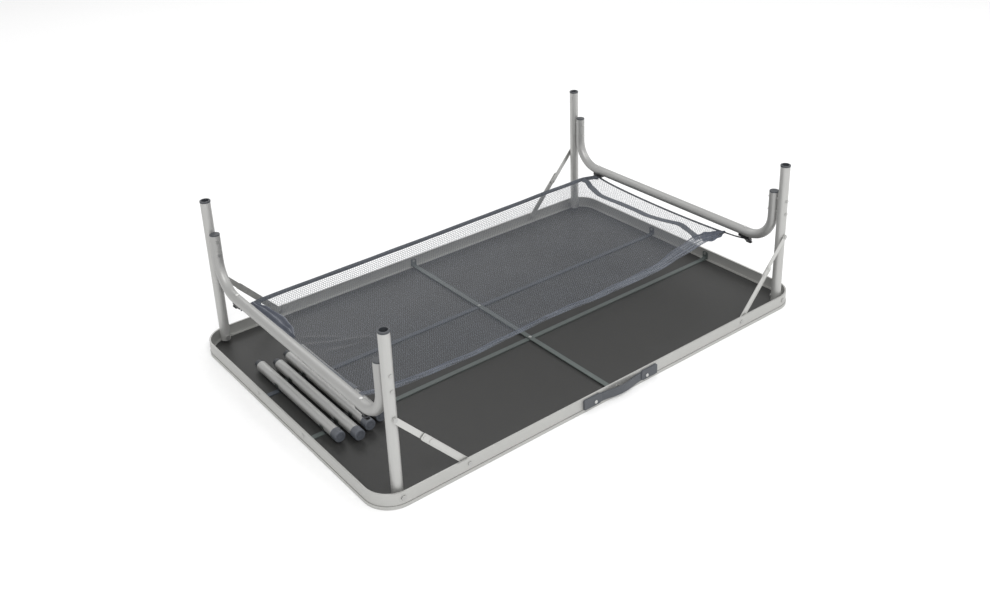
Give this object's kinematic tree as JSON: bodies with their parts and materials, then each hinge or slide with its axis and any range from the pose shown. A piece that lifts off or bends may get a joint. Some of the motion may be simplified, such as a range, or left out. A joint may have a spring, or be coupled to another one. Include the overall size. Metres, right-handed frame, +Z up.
{
  "type": "camp kitchen table",
  "caption": "Folding aluminium camp kitchen table, face down, with hinged leg frames, locking braces, stored extension legs, side handle and a slung mesh net.",
  "frame": {"origin": "centre of the table face, which lies on the ground, so z is 0 on the face", "axes": "+X along the length, +Y across the width away from the carrying handle, +Z up from the face towards the leg ends"},
  "size_m": [1.2002, 0.7905, 0.37],
  "materials": {
    "laminate": "fine satin laminate",
    "underside_board": "dark grey satin backing",
    "anodised_aluminium": "satin anodised",
    "leg_aluminium": "satin anodised",
    "u_tube_aluminium": "satin anodised",
    "stored_leg_aluminium": "satin anodised, handled",
    "bar_steel": "grey-green satin paint",
    "far_bar_steel": "dark blue-grey satin paint",
    "clip_steel": "dark satin spring steel",
    "brace_steel": "zinc plated",
    "rivet_aluminium": "satin",
    "bright_steel": "bright",
    "handle_plastic": "fine textured",
    "foot_cap_plastic": "fine textured",
    "plug_plastic": "satin moulded",
    "hook_plastic": "satin moulded",
    "elastic_cord": "braided",
    "net_mesh": "warp-knit polyester mesh",
    "net_tape": "woven binding tape"
  },
  "bodies": {
    "tabletop": {"table_surface": "laminate", "panel_board": "underside_board", "rim_frame": "anodised_aluminium", "long_bar_near": "bar_steel", "long_bar_far": "far_bar_steel", "cross_bar": "bar_steel", "bar_rivets": "rivet_aluminium", "leg_pivot_pins": "rivet_aluminium", "brace_rim_pins": "rivet_aluminium", "tube_clips_near": "clip_steel", "tube_clips_far": "clip_steel", "handle_grip": "handle_plastic", "handle_pads": "handle_plastic", "handle_rivets": "bright_steel"},
    "left_leg_frame": {"left_leg_tube_near": "leg_aluminium", "left_leg_tube_far": "leg_aluminium", "left_u_tube": "u_tube_aluminium", "left_leg_collars": "plug_plastic", "left_leg_plugs": "plug_plastic", "left_arm_plugs": "plug_plastic", "left_join_rivets": "rivet_aluminium", "left_brace_leg_pins": "rivet_aluminium", "left_hook_screws": "bright_steel", "left_net_hooks": "hook_plastic", "left_net_cord": "elastic_cord"},
    "left_near_lower_brace": {"left_near_lower_link": "brace_steel"},
    "left_near_upper_brace": {"left_near_upper_link": "brace_steel"},
    "left_far_lower_brace": {"left_far_lower_link": "brace_steel"},
    "left_far_upper_brace": {"left_far_upper_link": "brace_steel"},
    "left_net": {"left_net_mesh": "net_mesh", "left_net_hems": "net_tape"},
    "right_leg_frame": {"right_leg_tube_near": "leg_aluminium", "right_leg_tube_far": "leg_aluminium", "right_u_tube": "u_tube_aluminium", "right_leg_collars": "plug_plastic", "right_leg_plugs": "plug_plastic", "right_arm_plugs": "plug_plastic", "right_join_rivets": "rivet_aluminium", "right_brace_leg_pins": "rivet_aluminium", "right_hook_screws": "bright_steel", "right_net_hooks": "hook_plastic", "right_net_cord": "elastic_cord"},
    "right_near_lower_brace": {"right_near_lower_link": "brace_steel"},
    "right_near_upper_brace": {"right_near_upper_link": "brace_steel"},
    "right_far_lower_brace": {"right_far_lower_link": "brace_steel"},
    "right_far_upper_brace": {"right_far_upper_link": "brace_steel"},
    "right_net": {"right_net_mesh": "net_mesh", "right_net_hems": "net_tape"},
    "extension_leg_1": {"ext_tube_1": "stored_leg_aluminium", "ext_cap_1": "foot_cap_plastic", "ext_spigot_1": "plug_plastic"},
    "extension_leg_2": {"ext_tube_2": "stored_leg_aluminium", "ext_cap_2": "foot_cap_plastic", "ext_spigot_2": "plug_plastic"},
    "extension_leg_3": {"ext_tube_3": "stored_leg_aluminium", "ext_cap_3": "foot_cap_plastic", "ext_spigot_3": "plug_plastic"},
    "extension_leg_4": {"ext_tube_4": "stored_leg_aluminium", "ext_cap_4": "foot_cap_plastic", "ext_spigot_4": "plug_plastic"}
  },
  "joints": [
    {"name": "left_leg_fold", "type": "hinge", "parent": "tabletop", "child": "left_leg_frame", "pos_m": [-0.549, 0, 0.021], "axis": [0, 1, 0], "range_deg": [0, 90]},
    {"name": "left_near_lower_brace_turn", "type": "hinge", "parent": "tabletop", "child": "left_near_lower_brace", "pos_m": [-0.397, -0.3835, 0.021], "axis": [0, 1, 0], "range_deg": [0, 132.32]},
    {"name": "left_near_upper_brace_turn", "type": "hinge", "parent": "left_leg_frame", "child": "left_near_upper_brace", "pos_m": [-0.549, -0.3804, 0.188], "axis": [0, 1, 0], "range_deg": [-137.7, 0]},
    {"name": "left_far_lower_brace_turn", "type": "hinge", "parent": "tabletop", "child": "left_far_lower_brace", "pos_m": [-0.397, 0.3835, 0.021], "axis": [0, 1, 0], "range_deg": [0, 132.32]},
    {"name": "left_far_upper_brace_turn", "type": "hinge", "parent": "left_leg_frame", "child": "left_far_upper_brace", "pos_m": [-0.549, 0.3804, 0.188], "axis": [0, 1, 0], "range_deg": [-137.7, 0]},
    {"name": "left_net_hang", "type": "hinge", "parent": "left_leg_frame", "child": "left_net", "pos_m": [-0.549, 0, 0.142], "axis": [0, 1, 0], "range_deg": [-98.51, 0], "deforming": ["left_net_mesh", "left_net_hems"]},
    {"name": "right_leg_fold", "type": "hinge", "parent": "tabletop", "child": "right_leg_frame", "pos_m": [0.549, 0, 0.021], "axis": [0, -1, 0], "range_deg": [0, 90]},
    {"name": "right_near_lower_brace_turn", "type": "hinge", "parent": "tabletop", "child": "right_near_lower_brace", "pos_m": [0.397, -0.3835, 0.021], "axis": [0, -1, 0], "range_deg": [0, 132.32]},
    {"name": "right_near_upper_brace_turn", "type": "hinge", "parent": "right_leg_frame", "child": "right_near_upper_brace", "pos_m": [0.549, -0.3804, 0.188], "axis": [0, -1, 0], "range_deg": [-137.7, 0]},
    {"name": "right_far_lower_brace_turn", "type": "hinge", "parent": "tabletop", "child": "right_far_lower_brace", "pos_m": [0.397, 0.3835, 0.021], "axis": [0, -1, 0], "range_deg": [0, 132.32]},
    {"name": "right_far_upper_brace_turn", "type": "hinge", "parent": "right_leg_frame", "child": "right_far_upper_brace", "pos_m": [0.549, 0.3804, 0.188], "axis": [0, -1, 0], "range_deg": [-137.7, 0]},
    {"name": "right_net_hang", "type": "hinge", "parent": "right_leg_frame", "child": "right_net", "pos_m": [0.549, 0, 0.142], "axis": [0, -1, 0], "range_deg": [-98.51, 0], "deforming": ["right_net_mesh", "right_net_hems"]},
    {"name": "extension_leg_1_lift", "type": "slide", "parent": "tabletop", "child": "extension_leg_1", "axis": [0, 0, 1], "range_m": [0, 0.06]},
    {"name": "extension_leg_2_lift", "type": "slide", "parent": "tabletop", "child": "extension_leg_2", "axis": [0, 0, 1], "range_m": [0, 0.06]},
    {"name": "extension_leg_3_lift", "type": "slide", "parent": "tabletop", "child": "extension_leg_3", "axis": [0, 0, 1], "range_m": [0, 0.06]},
    {"name": "extension_leg_4_lift", "type": "slide", "parent": "tabletop", "child": "extension_leg_4", "axis": [0, 0, 1], "range_m": [0, 0.06]}
  ],
  "couplings": [
    {"joint": "left_near_lower_brace_turn", "follows": "left_leg_fold", "ratio": 1.4701},
    {"joint": "left_near_upper_brace_turn", "follows": "left_leg_fold", "ratio": -1.5299},
    {"joint": "left_far_lower_brace_turn", "follows": "left_leg_fold", "ratio": 1.4701},
    {"joint": "left_far_upper_brace_turn", "follows": "left_leg_fold", "ratio": -1.5299},
    {"joint": "left_net_hang", "follows": "left_leg_fold", "ratio": -1.0944},
    {"joint": "right_near_lower_brace_turn", "follows": "right_leg_fold", "ratio": 1.4701},
    {"joint": "right_near_upper_brace_turn", "follows": "right_leg_fold", "ratio": -1.5299},
    {"joint": "right_far_lower_brace_turn", "follows": "right_leg_fold", "ratio": 1.4701},
    {"joint": "right_far_upper_brace_turn", "follows": "right_leg_fold", "ratio": -1.5299},
    {"joint": "right_net_hang", "follows": "right_leg_fold", "ratio": -1.0944}
  ]
}
